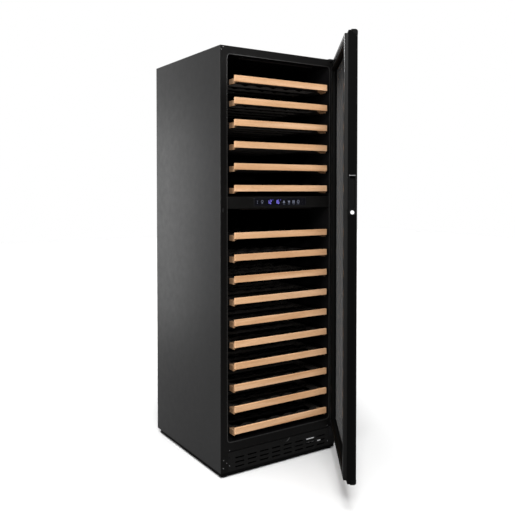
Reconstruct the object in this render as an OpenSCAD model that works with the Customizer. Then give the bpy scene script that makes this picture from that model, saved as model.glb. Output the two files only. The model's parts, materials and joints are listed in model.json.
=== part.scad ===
// Free-standing two-zone wine cooler with a glass door and sixteen pull-out beech shelves.
// Millimetres. +Z is up, the door faces -Y, the origin is on the floor under the cabinet's centre.

/* [Cabinet] */
// Width of the cabinet and of the door
cab_w = 595; // [590:1:600]
// Depth of the cabinet without its door
cab_d = 620; // [615:1:640]
// Height of the cabinet above the floor
cab_h = 1758; // [1756:1:1764]
// Gap between the floor and the base tray
foot_gap = 8; // [7:0.5:10]
// Height of the base tray
tray_h = 12; // [10:0.5:14]
// Thickness of the outer steel sheets
sheet = 1; // [0.8:0.1:1.2]
// Thickness of the front frame
frame_t = 4; // [3.5:0.5:4.5]

/* [Inside] */
// Width of the cavity
cavity_w = 529; // [527:1:530]
// Height of the cavity's floor
cavity_floor = 142; // [140:1:144]
// Height of the cavity's ceiling
cavity_top = 1724; // [1722:1:1726]
// Thickness of the plastic liner
liner_t = 2; // [1.5:0.5:2.5]
// Underside of the divider between the two zones
divider_bottom = 1099; // [1097:1:1100]
// Height of the divider
divider_h = 49; // [48:1:50]
// Corner radius of the opening
corner_r = 14; // [10:1:16]

/* [Shelves] */
// Centre height of the highest shelf
top_shelf_z = 1628; // [1626:1:1630]
// Distance from one shelf to the next
shelf_pitch = 89; // [88:0.5:90]
// Distance from the lowest shelf of the upper zone to the highest of the lower zone
zone_gap = 194; // [192:1:196]
// Number of shelves in the upper zone
upper_shelves = 6; // [5:1:6]
// Number of shelves in the lower zone
lower_shelves = 10; // [9:1:10]
// Width of a shelf's front trim
trim_w = 476; // [470:1:478]
// Height of a shelf's front trim
trim_h = 26; // [22:1:28]
// How far the trims stand out of the cabinet's front
trim_proud = 15.5; // [12:0.5:17]

/* [Door] */
// Angle at which the door stands open
door_open = 55.3; // [0:0.1:100]
// Thickness of the door's outer frame
door_t = 33; // [32:0.5:34]
// Thickness of the door's inner liner
door_liner_t = 12.7; // [12:0.1:13]
// Gap between the closed door's liner and the cabinet
door_gap = 2.1; // [1.8:0.1:2.4]
// Height of the door's lower edge
door_z0 = 110; // [109:0.5:111]
// Height of the door's upper edge
door_z1 = 1748; // [1746:0.5:1748]
// Width of the door's rim round the glass
rim = 47.5; // [46:0.5:48]

/* [Hidden] */
$fn = 48;
eps = 1;
half_w = cab_w / 2;
front = -cab_d / 2;
back = cab_d / 2;
panel_z0 = foot_gap + tray_h;
cavity_x = cavity_w / 2;
cavity_back = back - 65;
seam_z = 103;
seam_gap = 2;
kick_x = 262;

// compressor bay under the cavity's rear, and the step in the liner above it
step_y = back - 200;
step_z = 300;
bay_y = step_y + 37;
bay_top = step_z - 42;

// air ducts on the cavity's rear wall
duct_t = 30;
duct_front = cavity_back - duct_t;
duct_x = 215;
duct_wall = 2.5;
zone_top = [cavity_top, divider_bottom];
zone_bottom = [divider_bottom + divider_h, step_z];
fan_z = [1250, 420];
zone_fan_r = 44;

// shelves
shelf_count = upper_shelves + lower_shelves;
trim_t = 20;
trim_front = front - trim_proud;
rail_w = 18;
rail_top = 1;
rail_h = 20;
slat_w = 28;
slat_h = 13;
scallop_r = 42;
scallop_lift = 36;
joint_gap = 0.2;
shelf_rear = duct_front - 17;
short_rear = step_y - 15;
runner_start = front + 48;
runner_web_x = cavity_x - 10;

// hinge and door
hinge = [half_w - 11.6, front - 30.9];
liner_inset = 10;
liner_y = front - door_gap;
frame_y = liner_y - door_liner_t;
door_y = frame_y - door_t;
cap_t = 3;
cap_r = 20;
glass_x = half_w - 17.5;
glass_t = 4;
pane_t = 3;
inner_face_y = frame_y - 9.2;
pin_r = 4;
bush_r = 7;
bush_h = 22;
lock_z = 1096;
lock_y = front - 30;
lock_r = 7;
cam_reach = 33.5;
cup_z = [1105, 1229];
cup_w = 23;

// base
foot_x = 275;
foot_y = 288;
stem_r = 5;
boss_r = 10;

compressor_pos = [-140, back - 82];
fan_pos = [135, bay_y + 20, 112];
fan_r = 54;
shaft_r = 2;
shaft_clearance = 0.05;
condenser = [[60, front + 24, 27], [236, front + 244, 97]];

function two_digits(n) = n < 10 ? str("0", n) : str(n);
function shelf_name(i) = str("shelf_", two_digits(i + 1));
function shelf_z(i) = top_shelf_z - i * shelf_pitch
    - (i < upper_shelves ? 0 : zone_gap - shelf_pitch);
function is_short(i) = i >= shelf_count - 2;
function rear_of(i) = is_short(i) ? short_rear : shelf_rear;

// ---- helpers -------------------------------------------------------------------------------

// A box from one corner to the opposite one.
module box(low, high) {
    translate(low) cube(high - low);
}

// A flat rectangle with round corners, centred on x, from y0 to y1.
module round_rect(w, y0, y1, r) {
    translate([-w / 2 + r, y0]) square([w - 2 * r, y1 - y0]);
    translate([-w / 2, y0 + r]) square([w, y1 - y0 - 2 * r]);
    for (x = [-1, 1]) {
        translate([x * (w / 2 - r), y0 + r]) circle(r);
        translate([x * (w / 2 - r), y1 - r]) circle(r);
    }
}

// An outline drawn in X and Z, made solid from y0 to y1.
module upright(y0, y1) {
    translate([0, y1, 0]) rotate([90, 0, 0]) linear_extrude(y1 - y0) children();
}

// An outline drawn in Y and Z, made solid from x0 to x1.
module lengthwise(x0, x1) {
    translate([x0, 0, 0]) rotate([90, 0, 90]) linear_extrude(x1 - x0) children();
}

// The same thing on the left and on the right.
module both_sides() {
    children();
    mirror([1, 0, 0]) children();
}

// Moves a part that was drawn on the closed door to where the open door holds it.
module on_door() {
    translate([hinge[0], hinge[1], 0])
        rotate([0, 0, door_open])
            translate([-hinge[0], -hinge[1], 0])
                children();
}

// ---- shell ---------------------------------------------------------------------------------

// Folded side sheet, drawn on the right.
module side_sheet() {
    front_flange = 17;
    rear_flange = 13;
    y0 = front + frame_t;
    y1 = back - sheet;
    translate([0, 0, panel_z0])
        linear_extrude(cab_h - sheet - panel_z0)
            polygon([
                [half_w - front_flange, y0], [half_w, y0], [half_w, y1],
                [half_w - rear_flange, y1], [half_w - rear_flange, y1 - sheet],
                [half_w - sheet, y1 - sheet], [half_w - sheet, y0 + sheet],
                [half_w - front_flange, y0 + sheet]]);
}

module side_panel_left() {
    color("#3c3d40") mirror([1, 0, 0]) side_sheet();
}

module side_panel_right() {
    color("#3c3d40") side_sheet();
}

module top_panel() {
    color("#3c3d40") box([-half_w, front + frame_t, cab_h - sheet], [half_w, back, cab_h]);
}

module rear_panel() {
    color("#2a2b2d")
        box([-half_w, back - sheet, step_z], [half_w, back, cab_h - sheet]);
}

// Perforated cover of the compressor bay, with slots and the cut-out for the mains inlet.
module rear_grille() {
    slot = [60, 6];
    tray_clearance = 1.5;
    color("#1d1d1f")
        difference() {
            box([-half_w, back - sheet, panel_z0 + tray_clearance], [half_w, back, step_z]);
            for (x = [-220 : 88 : 220], z = [90 : 18 : 252])
                if (x < 160 || z > 150)
                    translate([x - slot[0] / 2, back - 2 * sheet, z])
                        cube([slot[0], 4 * sheet, slot[1]]);
            box([188, back - 2 * sheet, 46], [242, back + sheet, 84]);
        }
}

// Shallow steel tray that carries the cabinet, with threaded bosses for the feet.
module base_tray() {
    wall = 1.5;
    color("#141415")
        difference() {
            union() {
                difference() {
                    translate([0, 0, foot_gap])
                        linear_extrude(tray_h) round_rect(cab_w, front, back, 12);
                    translate([0, 0, foot_gap + wall])
                        linear_extrude(tray_h) round_rect(cab_w - 2 * wall, front + wall,
                                                          back - wall, 10.5);
                }
                for (x = [-foot_x, foot_x], y = [-foot_y, foot_y])
                    translate([x, y, foot_gap]) cylinder(r = boss_r, h = tray_h);
            }
            for (x = [-foot_x, foot_x], y = [-foot_y, foot_y])
                translate([x, y, 0]) cylinder(r = stem_r + 0.05, h = 60);
            for (x = [-160 : 40 : 160], y = [-120, -60, 0, 60])
                box([x - 12, y - 20, 0], [x + 12, y + 20, 3 * foot_gap]);
        }
}

// Black frame round the opening. Its stiles run down past the kick plate, its lower rail is the
// beam under the opening, and a raised bead follows the opening's edge.
module front_frame() {
    bead_w = 3.5;
    bead_proud = 0.3;
    opening_w = cavity_w;
    color("#18181a")
        difference() {
            union() {
                upright(front, front + frame_t)
                    translate([-half_w, panel_z0]) square([cab_w, cab_h - panel_z0]);
                upright(front - bead_proud, front + frame_t)
                    round_rect(opening_w + 2 * bead_w, cavity_floor - bead_w,
                               cavity_top + bead_w, corner_r + bead_w);
            }
            upright(front - 5, front + 2 * frame_t)
                round_rect(opening_w, cavity_floor, cavity_top, corner_r);
            box([-kick_x, front - 5, 0], [kick_x, front + 2 * frame_t, seam_z]);
            box([-half_w + 8.5, front - 5, lock_z - 9],
                [-half_w + 14.5, front + 2 * frame_t, lock_z + 9]);
        }
}

// The cavity's outline in Y and Z, made larger all round by g.
module cavity_outline(g) {
    polygon([
        [front + frame_t, cavity_floor - g], [step_y + g, cavity_floor - g],
        [step_y + g, step_z - g], [cavity_back + g, step_z - g],
        [cavity_back + g, cavity_top + g], [front + frame_t, cavity_top + g]]);
}

module inner_liner() {
    color("#0d0d0f")
        difference() {
            lengthwise(-cavity_x - liner_t, cavity_x + liner_t) cavity_outline(liner_t);
            lengthwise(-cavity_x, cavity_x) cavity_outline(0);
            box([-cavity_x, front, cavity_floor],
                [cavity_x, front + frame_t + eps, cavity_top]);
        }
}

module insulation() {
    color("#c9bd8f")
        difference() {
            box([-half_w + sheet, front + frame_t + sheet, seam_z + 1],
                [half_w - sheet, back - 2 * sheet, cab_h - sheet]);
            lengthwise(-cavity_x - liner_t, cavity_x + liner_t) cavity_outline(liner_t);
            box([-half_w, bay_y, 0], [half_w, back, bay_top]);
        }
}

// Slotted plate in front of the base, with a shallow round thumb mark at its upper edge and a
// screw hole near its left end.
module kick_plate() {
    columns = 8;
    rows = 3;
    pitch_x = 61;
    pitch_z = 18.5;
    slot = [44, 5];
    plate_t = 2.5;
    lip = 14;
    top = seam_z - seam_gap;
    mark_r = 42;
    mark_centre = [22, 118];
    mark_depth = 1.5;
    color("#1e1e20")
        difference() {
            union() {
                box([-kick_x, front, panel_z0], [kick_x, front + plate_t, top]);
                box([-kick_x, front, top - 3], [kick_x, front + lip, top]);
                box([-kick_x, front, panel_z0], [kick_x, front + lip, panel_z0 + 2]);
            }
            for (i = [0 : columns - 1], k = [0 : rows - 1])
                translate([(i - (columns - 1) / 2) * pitch_x, front, 34.5 + k * pitch_z])
                    translate([-slot[0] / 2, -1, -slot[1] / 2])
                        cube([slot[0], plate_t + 2, slot[1]]);
            upright(front - 1, front + mark_depth)
                translate(mark_centre) circle(r = mark_r);
            upright(front - 1, front + plate_t + 1)
                translate([-256, 78]) circle(r = 2.6);
        }
}

// ---- between the zones ---------------------------------------------------------------------

module zone_divider() {
    color("#2b2c2f")
        difference() {
            box([-cavity_x, front + frame_t, divider_bottom],
                [cavity_x, duct_front, divider_bottom + divider_h]);
            box([-134, front, divider_bottom + 10], [134, front + 22, divider_bottom + 43]);
        }
}

module display_glass() {
    color("#0b0c10")
        box([-133.8, front + 3, divider_bottom + 10.2], [133.8, front + 6, divider_bottom + 42.8]);
}

// Circuit board with its two digit modules, sensor keys and plug.
module control_board() {
    z = divider_bottom + 26;
    color("#1c5a34") box([-124, front + 10, z - 13], [124, front + 11.6, z + 13]);
    color("#222226")
        for (x = [-58, -18])
            box([x - 17, front + 7, z - 10], [x + 17, front + 10, z + 10]);
    color("#d8d8d0") box([70, front + 11.6, z - 7], [100, front + 20, z + 7]);
}

module led_bars() {
    color("#e8eef5")
        for (z = zone_top)
            box([-190, front + 34, z - 6], [190, front + 46, z]);
}

// ---- shelves -------------------------------------------------------------------------------

// Moving member of a telescopic runner, drawn on the right, open to the outside.
module runner_slide(y1) {
    x0 = trim_w / 2 + joint_gap;
    depth = 13;
    gauge = 1.5;
    upright(runner_start, y1)
        polygon([
            [x0, -20], [x0 + depth, -20], [x0 + depth, -20 + gauge], [x0 + gauge, -20 + gauge],
            [x0 + gauge, 4 - gauge], [x0 + depth, 4 - gauge], [x0 + depth, 4], [x0, 4]]);
}

// Cross slat with six hollows for the bottles.
module slat(y) {
    span = trim_w - 2 * rail_w - 2 * joint_gap;
    upright(y, y + slat_w)
        difference() {
            translate([-span / 2, rail_top - slat_h]) square([span, slat_h]);
            for (k = [0 : 5])
                translate([(k - 2.5) * span / 6, rail_top + scallop_lift])
                    circle(r = scallop_r, $fn = 64);
        }
}

module shelf(i) {
    rear = rear_of(i);
    first = trim_front + trim_t + 18;
    slats = is_short(i) ? 5 : 6;
    step = (rear - slat_w - first) / (slats - 1);
    translate([0, 0, shelf_z(i)]) {
        color("#dcb888") {
            box([-trim_w / 2, trim_front, -trim_h / 2],
                [trim_w / 2, trim_front + trim_t, trim_h / 2]);
            both_sides()
                box([trim_w / 2 - rail_w, trim_front + trim_t + joint_gap, rail_top - rail_h],
                    [trim_w / 2, rear, rail_top]);
            for (k = [0 : slats - 1]) slat(first + k * step);
        }
        color("#2a2a2c") both_sides() runner_slide(rear - 6);
    }
}

// Fixed runner members on the cavity's side walls, two for each shelf.
module shelf_runners() {
    gauge = 1.5;
    x1 = runner_web_x;
    x0 = trim_w / 2 + 4;
    color("#17171a")
        for (i = [0 : shelf_count - 1])
            translate([0, 0, shelf_z(i)])
                both_sides() {
                    upright(runner_start - 4, rear_of(i))
                        polygon([
                            [x0, -24], [x1, -24], [x1, 8], [x0, 8], [x0, 8 - gauge],
                            [x1 - gauge, 8 - gauge], [x1 - gauge, -24 + gauge],
                            [x0, -24 + gauge]]);
                    for (y = [runner_start + 16, -60, rear_of(i) - 50])
                        box([x1, y, -18], [cavity_x, y + 28, 2]);
                }
}

// ---- cooling -------------------------------------------------------------------------------

// Hollow covers on the rear wall of each zone, with a fan opening and outlet slots.
module duct_covers() {
    color("#101012")
        for (zone = [0, 1]) {
            z0 = zone_bottom[zone] + 12;
            z1 = zone_top[zone] - 8;
            difference() {
                box([-duct_x, duct_front, z0], [duct_x, cavity_back, z1]);
                box([-duct_x + duct_wall, duct_front + duct_wall, z0 + duct_wall],
                    [duct_x - duct_wall, cavity_back + eps, z1 - duct_wall]);
                translate([0, duct_front - eps, fan_z[zone]])
                    rotate([-90, 0, 0]) cylinder(r = zone_fan_r + 2, h = 2 * duct_wall);
                for (x = [-150, -50, 50, 150], z = [z1 - 30, z1 - 44, z1 - 58])
                    box([x - 34, duct_front - eps, z - 3],
                        [x + 34, duct_front + 2 * duct_wall, z + 3]);
            }
            motor_bridge(fan_z[zone]);
        }
}

// Motor behind a zone fan, on a bridge that stands on the duct cover's inside.
module motor_bridge(z) {
    y = duct_front + duct_wall;
    post_x = zone_fan_r + 6;
    difference() {
        union() {
            translate([0, duct_front + 22, z]) rotate([-90, 0, 0]) cylinder(r = 15, h = 7);
            box([-post_x - 5, duct_front + 26, z - 7], [post_x + 5, duct_front + 28, z + 7]);
            for (x = [-post_x - 5, post_x])
                box([x, y, z - 7], [x + 5, duct_front + 28, z + 7]);
        }
        translate([0, duct_front, z])
            rotate([-90, 0, 0]) cylinder(r = shaft_r + shaft_clearance, h = duct_t + eps);
    }
}

// Finned plates with their tube, one in each duct.
module evaporators() {
    color("#b9bec2")
        for (zone = [0, 1]) {
            z0 = fan_z[zone] + 90;
            for (x = [-170 : 20 : 170])
                box([x, cavity_back - 20, z0], [x + 1, cavity_back - 3, z0 + 210]);
            for (z = [z0 + 30 : 50 : z0 + 180])
                translate([-185, cavity_back - 11, z])
                    rotate([0, 90, 0]) cylinder(r = 4, h = 370);
        }
}

// Rotor with five blades and its shaft; the axis is +Y through the origin.
module rotor(r, hub_r, depth, blade) {
    rotate([-90, 0, 0]) {
        cylinder(r = hub_r, h = depth);
        cylinder(r = shaft_r, h = depth + 7);
        for (k = [0 : 4])
            rotate([0, 0, 72 * k])
                translate([0, 0, depth / 2])
                    rotate([32, 0, 0])
                        translate([hub_r - 2, -blade / 2, -0.9])
                            cube([r - hub_r - 1, blade, 1.8]);
    }
}

module zone_fan(zone) {
    color("#202024")
        translate([0, duct_front + 4, fan_z[zone]]) rotor(zone_fan_r - 4, 15, 17, 22);
}

// Hermetic shell: lower cup, welded seam and upper dome, with its relay cover and pipe stubs.
module compressor() {
    r = 66;
    z0 = 24;
    color("#161618")
        translate([compressor_pos[0], compressor_pos[1], 0]) {
            translate([0, 0, z0 + 34]) {
                intersection() {
                    sphere(r = r, $fn = 64);
                    translate([0, 0, -26]) cylinder(r = r + 1, h = 92);
                }
                cylinder(r = r, h = 62);
                translate([0, 0, 62]) sphere(r = r, $fn = 64);
                translate([0, 0, 28]) cylinder(r = r + 4, h = 5);
            }
            for (x = [-62, 62])
                box([x - 16, -58, z0 - 6], [x + 16, 58, z0 + 14]);
            box([-92, -24, 60], [-58, 24, 122]);
            for (a = [20, 60])
                rotate([0, 0, a])
                    translate([r - 3, 0, 70])
                        rotate([0, 90, 0]) cylinder(r = 4, h = 14);
        }
}

module compressor_mounts() {
    color("#101010")
        translate([compressor_pos[0], compressor_pos[1], 0])
            for (x = [-62, 62], y = [-46, 46])
                translate([x, y, foot_gap + 1.5]) cylinder(r = 12, h = 24 - 6 - foot_gap - 1.5);
}

// Open pan over the compressor that catches the defrost water.
module drip_tray() {
    z = 187;
    color("#2c2c30")
        translate([compressor_pos[0], compressor_pos[1], z])
            difference() {
                box([-80, -56, 0], [80, 56, 28]);
                box([-77.5, -53.5, 2.5], [77.5, 53.5, 30]);
            }
}

// Finned block behind the slots of the kick plate.
module condenser() {
    low = condenser[0];
    high = condenser[1];
    color("#c5c8ca") {
        for (y = [low[1] : 8 : high[1]])
            box([low[0], y, low[2]], [high[0], y + 0.8, high[2]]);
        for (z = [low[2] + 14 : 21 : high[2]], x = [low[0] + 20 : 34 : high[0]])
            translate([x, high[1] + 6, z])
                rotate([90, 0, 0]) cylinder(r = 4, h = high[1] - low[1] + 12);
    }
    color("#3a3a3c")
        for (x = [low[0] - 2, high[0] + 0.5])
            box([x, low[1], foot_gap + 1.5], [x + 1.5, high[1], high[2] + 2]);
}

module condenser_fan() {
    color("#26262a") translate(fan_pos) rotor(fan_r, 20, 22, 30);
}

// Plate with a ring round the rotor and a motor on three arms behind it.
module fan_shroud() {
    x = fan_pos[0];
    y = fan_pos[1];
    z = fan_pos[2];
    clear_r = fan_r + 3;
    color("#1a1a1d") {
        difference() {
            union() {
                box([x - 72, y + 4, foot_gap + 1.5], [x + 72, y + 7, z + 70]);
                translate([x, y + 4, z]) rotate([-90, 0, 0]) cylinder(r = clear_r + 3, h = 16);
            }
            translate([x, y, z]) rotate([-90, 0, 0]) cylinder(r = clear_r, h = 40);
        }
        difference() {
            translate([x, y + 23, z]) rotate([-90, 0, 0]) cylinder(r = 22, h = 26);
            translate([x, y, z])
                rotate([-90, 0, 0]) cylinder(r = shaft_r + shaft_clearance, h = 36);
        }
        for (a = [90, 210, 330])
            translate([x, y + 24, z]) rotate([0, a, 0])
                box([20, 0, -4], [clear_r + 9, 4, 4]);
        for (a = [90, 210, 330])
            translate([x, y + 7, z]) rotate([0, a, 0])
                box([clear_r + 3.5, 0, -4], [clear_r + 9, 21, 4]);
    }
}

// Appliance inlet in the rear grille, where a mains cord plugs in.
module mains_inlet() {
    color("#111113")
        difference() {
            union() {
                box([189, back - 26, 47], [241, back - sheet, 83]);
                box([183, back - sheet - 2, 42], [247, back - sheet, 88]);
            }
            box([200, back - 18, 54], [230, back, 76]);
        }
    color("#b8b8b0")
        for (x = [208, 215, 222])
            box([x - 1, back - 18, 62], [x + 1, back - 4, 67]);
}

// ---- feet and hinges -----------------------------------------------------------------------

// Levelling foot: pad, hexagon and threaded stem.
module foot(x, y) {
    color("#19191b")
        translate([x, y, 0]) {
            cylinder(r = 17, h = 4);
            cylinder(r = 9.5, h = foot_gap - 1, $fn = 6);
            cylinder(r = stem_r, h = 32);
        }
}

module hinge_brackets() {
    x0 = half_w - 35;
    x1 = half_w - 1;
    gauge = 3;
    reach = hinge[1] - 14;
    ear_z = [door_z1 + 2, door_z0 - 7];
    color("#1c1c1e") {
        // upper: on the top panel, down over the frame, forward over the door
        difference() {
            union() {
                box([x0, front - gauge, cab_h], [x1, front + 48, cab_h + gauge]);
                box([x0, front - gauge, ear_z[0]], [x1, front, cab_h + gauge]);
                box([x0, hinge[1], ear_z[0]], [x1, front, ear_z[0] + gauge]);
                translate([hinge[0], hinge[1], ear_z[0]]) cylinder(r = 11, h = gauge);
            }
            translate([hinge[0], hinge[1], 0]) cylinder(r = pin_r, h = 2 * cab_h);
        }
        // lower: on the stile, forward under the door
        difference() {
            union() {
                box([x0, front - gauge, 60], [x1, front, ear_z[1] + gauge]);
                box([x0, hinge[1], ear_z[1]], [x1, front, ear_z[1] + gauge]);
                translate([hinge[0], hinge[1], ear_z[1]]) cylinder(r = 11, h = gauge);
            }
            translate([hinge[0], hinge[1], 0]) cylinder(r = pin_r, h = cab_h);
        }
    }
}

module hinge_pins() {
    color("#b9bcc0")
        translate([hinge[0], hinge[1], 0]) {
            translate([0, 0, door_z1 - 20]) cylinder(r = pin_r, h = 25.5);
            translate([0, 0, door_z0 - 7.5]) cylinder(r = pin_r, h = 27.5);
        }
}

// Countersunk-looking heads on both brackets.
module bracket_screws() {
    color("#c9ccd0") {
        for (x = [half_w - 28, half_w - 9], y = [front + 14, front + 36])
            translate([x, y, cab_h + 3]) cylinder(r = 4, h = 2);
        for (x = [half_w - 28, half_w - 9], z = [68, 92])
            translate([x, front - 3, z]) rotate([90, 0, 0]) cylinder(r = 4, h = 2);
    }
}

// Small heads that fill the spare holes for hanging the door on the other side.
module blanking_plugs() {
    face_plugs = [
        [-279, 88], [-284, 73], [-270, 59], [-256, 45], [-285, 40], [-256, 108],
        [256, 111], [258, 39]];
    top_plugs = [[-290, 6], [-281, 14], [-272, 6]];
    color("#c4c6c8") {
        for (p = face_plugs)
            translate([p[0], front, p[1]]) rotate([90, 0, 0]) cylinder(r = 2.6, h = 1);
        for (p = top_plugs)
            translate([p[0], front + p[1], cab_h]) cylinder(r = 2.6, h = 2);
    }
}

// ---- door ----------------------------------------------------------------------------------

// Ears of the end caps: quarter discs let into both edges of the frame.
module cap_ears(z) {
    intersection() {
        union()
            for (x = [-half_w, half_w - 1.5])
                translate([x, door_y, z]) rotate([0, 90, 0]) cylinder(r = cap_r, h = 1.5);
        box([-half_w, door_y, door_z0], [half_w, frame_y, door_z1]);
    }
}

// The frame's outline seen from above, with rounded outer corners.
module door_section() {
    r = 5;
    translate([-half_w, door_y + r]) square([cab_w, door_t - r]);
    translate([-half_w + r, door_y]) square([cab_w - 2 * r, r + eps]);
    for (x = [-1, 1]) translate([x * (half_w - r), door_y + r]) circle(r);
}

module bush_holes() {
    translate([hinge[0], hinge[1], 0]) {
        translate([0, 0, door_z1 - bush_h]) cylinder(r = bush_r, h = bush_h + eps);
        translate([0, 0, door_z0 - eps]) cylinder(r = bush_r, h = bush_h + eps);
    }
}

// Swept space of the lock's cam.
module cam_slot() {
    box([-half_w + 9.5, lock_y - 7, lock_z - cam_reach - 2],
        [-half_w + 13.5, front, lock_z + 7]);
}

module door_frame() {
    color("#121214")
        on_door()
            difference() {
                translate([0, 0, door_z0 + cap_t])
                    linear_extrude(door_z1 - door_z0 - 2 * cap_t) door_section();
                box([-glass_x, door_y - eps, door_z0 + 17.5],
                    [glass_x, inner_face_y, door_z1 - 17.5]);
                box([-half_w + rim, door_y, door_z0 + rim],
                    [half_w - rim, frame_y + eps, door_z1 - rim]);
                cap_ears(door_z0);
                cap_ears(door_z1);
                bush_holes();
                cam_slot();
                box([-half_w - eps, lock_y - cup_w / 2, cup_z[0]],
                    [-half_w + 16, lock_y + cup_w / 2, cup_z[1]]);
                translate([-half_w - eps, lock_y, lock_z])
                    rotate([0, 90, 0]) cylinder(r = lock_r + 0.4, h = 15);
            }
}

module door_end_caps() {
    color("#1a1a1c")
        on_door()
            difference() {
                union() {
                    for (z = [door_z0, door_z1 - cap_t])
                        translate([0, 0, z]) linear_extrude(cap_t) door_section();
                    cap_ears(door_z0);
                    cap_ears(door_z1);
                }
                bush_holes();
            }
}

// Grey inner layer of the door, with a groove that holds the gasket.
module door_liner() {
    x = half_w - liner_inset;
    color("#76777a")
        on_door()
            difference() {
                box([-x, frame_y, door_z0 + liner_inset], [x, liner_y, door_z1 - liner_inset]);
                box([-half_w + rim, frame_y - eps, door_z0 + rim],
                    [half_w - rim, liner_y + eps, door_z1 - rim]);
                gasket_ring(half_w - 23.5, 6, liner_y - 6, liner_y + eps);
                cam_slot();
            }
}

// A rectangular ring: x is its outer half width, w the width of its sides.
module gasket_ring(x, w, y0, y1) {
    margin = half_w - x;
    difference() {
        box([-x, y0, door_z0 + margin], [x, y1, door_z1 - margin]);
        box([-x + w, y0 - eps, door_z0 + margin + w], [x - w, y1 + eps, door_z1 - margin - w]);
    }
}

module door_gasket() {
    color("#0a0a0b")
        on_door() {
            gasket_ring(half_w - 14.5, 13, liner_y, front - 0.4);
            gasket_ring(half_w - 23.5, 6, liner_y - 6, liner_y);
        }
}

// Three panes. The outer one lies in the frame's front.
module glass_panes() {
    color("#2c3034", 0.5)
        on_door() {
            z0 = door_z0 + 17.5;
            z1 = door_z1 - 17.5;
            box([-glass_x, door_y, z0], [glass_x, door_y + glass_t, z1]);
            box([-glass_x, inner_face_y - 13, z0], [glass_x, inner_face_y - 10, z1]);
            box([-glass_x, inner_face_y - pane_t, z0], [glass_x, inner_face_y, z1]);
        }
}

// Hollow bars that hold the panes apart, two rings.
module spacer_bars() {
    gaps = [[door_y + glass_t, inner_face_y - 13], [inner_face_y - 10, inner_face_y - pane_t]];
    color("#8d9093")
        on_door()
            for (g = gaps)
                gasket_ring(glass_x - 8, 9, g[0], g[1]);
}

// Finger grip let into the door's free edge, with the bezel that also carries the lock.
module handle_cup() {
    x0 = -half_w;
    color("#232326")
        on_door()
            difference() {
                union() {
                    box([x0, lock_y - cup_w / 2, cup_z[0]], [x0 + 16, lock_y + cup_w / 2, cup_z[1]]);
                    box([x0 - 1, lock_y - 13.5, lock_z - 10], [x0, lock_y + 13.5, cup_z[1] + 2]);
                }
                box([x0 - 2, lock_y - cup_w / 2 + 2, cup_z[0] + 2],
                    [x0 + 14, lock_y + cup_w / 2 - 2, cup_z[1] - 2]);
                translate([x0 - 2, lock_y, lock_z])
                    rotate([0, 90, 0]) cylinder(r = lock_r + 0.4, h = 6);
            }
}

// Key barrel with its cam, which hangs down while the door is unlocked.
module lock_barrel() {
    x0 = -half_w - 1.5;
    color("#c8cacc")
        on_door() {
            difference() {
                translate([x0, lock_y, lock_z]) rotate([0, 90, 0]) cylinder(r = lock_r, h = 11.5);
                box([x0 - 1, lock_y - 0.7, lock_z - 4], [x0 + 4, lock_y + 0.7, lock_z + 4]);
            }
            box([x0 + 11.5, lock_y - 5, lock_z - cam_reach], [x0 + 14.5, lock_y + 5, lock_z + 5]);
        }
}

module hinge_bushes() {
    bore = pin_r + 0.05;
    color("#e4e2dc")
        on_door()
            translate([hinge[0], hinge[1], 0])
                difference() {
                    union() {
                        translate([0, 0, door_z1 - bush_h]) cylinder(r = bush_r, h = bush_h);
                        translate([0, 0, door_z0]) cylinder(r = bush_r, h = bush_h);
                        translate([0, 0, door_z0 - 3]) cylinder(r = 9, h = 3);
                    }
                    cylinder(r = bore, h = 2 * cab_h);
                }
}

// ---- output --------------------------------------------------------------------------------

side_panel_left();
side_panel_right();
top_panel();
rear_panel();
rear_grille();
base_tray();
front_frame();
inner_liner();
insulation();
zone_divider();
display_glass();
control_board();
kick_plate();
hinge_brackets();
hinge_pins();
bracket_screws();
blanking_plugs();
foot(-foot_x, -foot_y);  // foot_front_left
foot(foot_x, -foot_y);  // foot_front_right
foot(-foot_x, foot_y);  // foot_rear_left
foot(foot_x, foot_y);  // foot_rear_right
shelf_runners();
duct_covers();
evaporators();
zone_fan(0);  // zone_fan_upper
zone_fan(1);  // zone_fan_lower
led_bars();
compressor();
compressor_mounts();
drip_tray();
condenser();
condenser_fan();
fan_shroud();
mains_inlet();
door_frame();
door_end_caps();
door_liner();
door_gasket();
glass_panes();
spacer_bars();
handle_cup();
lock_barrel();
hinge_bushes();
for (i = [0 : shelf_count - 1])
    shelf(i);
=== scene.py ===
"""Looks of the two-zone wine cooler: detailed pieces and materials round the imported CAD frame.

Builders work in millimetres, in the CAD frame, and piece() scales their meshes to metres.
Pieces on the door are drawn as on the closed door and are placed by ON_DOOR.
"""

import json
import math

import bmesh
import bpy
from mathutils import Matrix, Vector


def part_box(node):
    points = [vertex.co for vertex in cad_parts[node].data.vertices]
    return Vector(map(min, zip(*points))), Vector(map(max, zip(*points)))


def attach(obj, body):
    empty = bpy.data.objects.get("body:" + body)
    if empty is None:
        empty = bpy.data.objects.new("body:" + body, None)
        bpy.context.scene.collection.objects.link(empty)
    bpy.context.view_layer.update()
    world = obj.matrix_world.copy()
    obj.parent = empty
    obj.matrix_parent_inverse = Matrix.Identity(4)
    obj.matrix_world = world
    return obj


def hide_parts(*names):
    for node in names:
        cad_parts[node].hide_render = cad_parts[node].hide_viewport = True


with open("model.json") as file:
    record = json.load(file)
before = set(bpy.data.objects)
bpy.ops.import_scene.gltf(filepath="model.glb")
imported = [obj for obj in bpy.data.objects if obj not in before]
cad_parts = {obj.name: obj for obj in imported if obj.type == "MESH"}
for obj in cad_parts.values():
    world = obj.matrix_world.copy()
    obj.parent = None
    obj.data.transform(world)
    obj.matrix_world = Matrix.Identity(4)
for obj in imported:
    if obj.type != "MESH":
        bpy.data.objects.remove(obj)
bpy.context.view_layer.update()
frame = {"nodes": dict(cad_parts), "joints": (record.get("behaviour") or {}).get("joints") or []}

MM = 0.001


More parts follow.
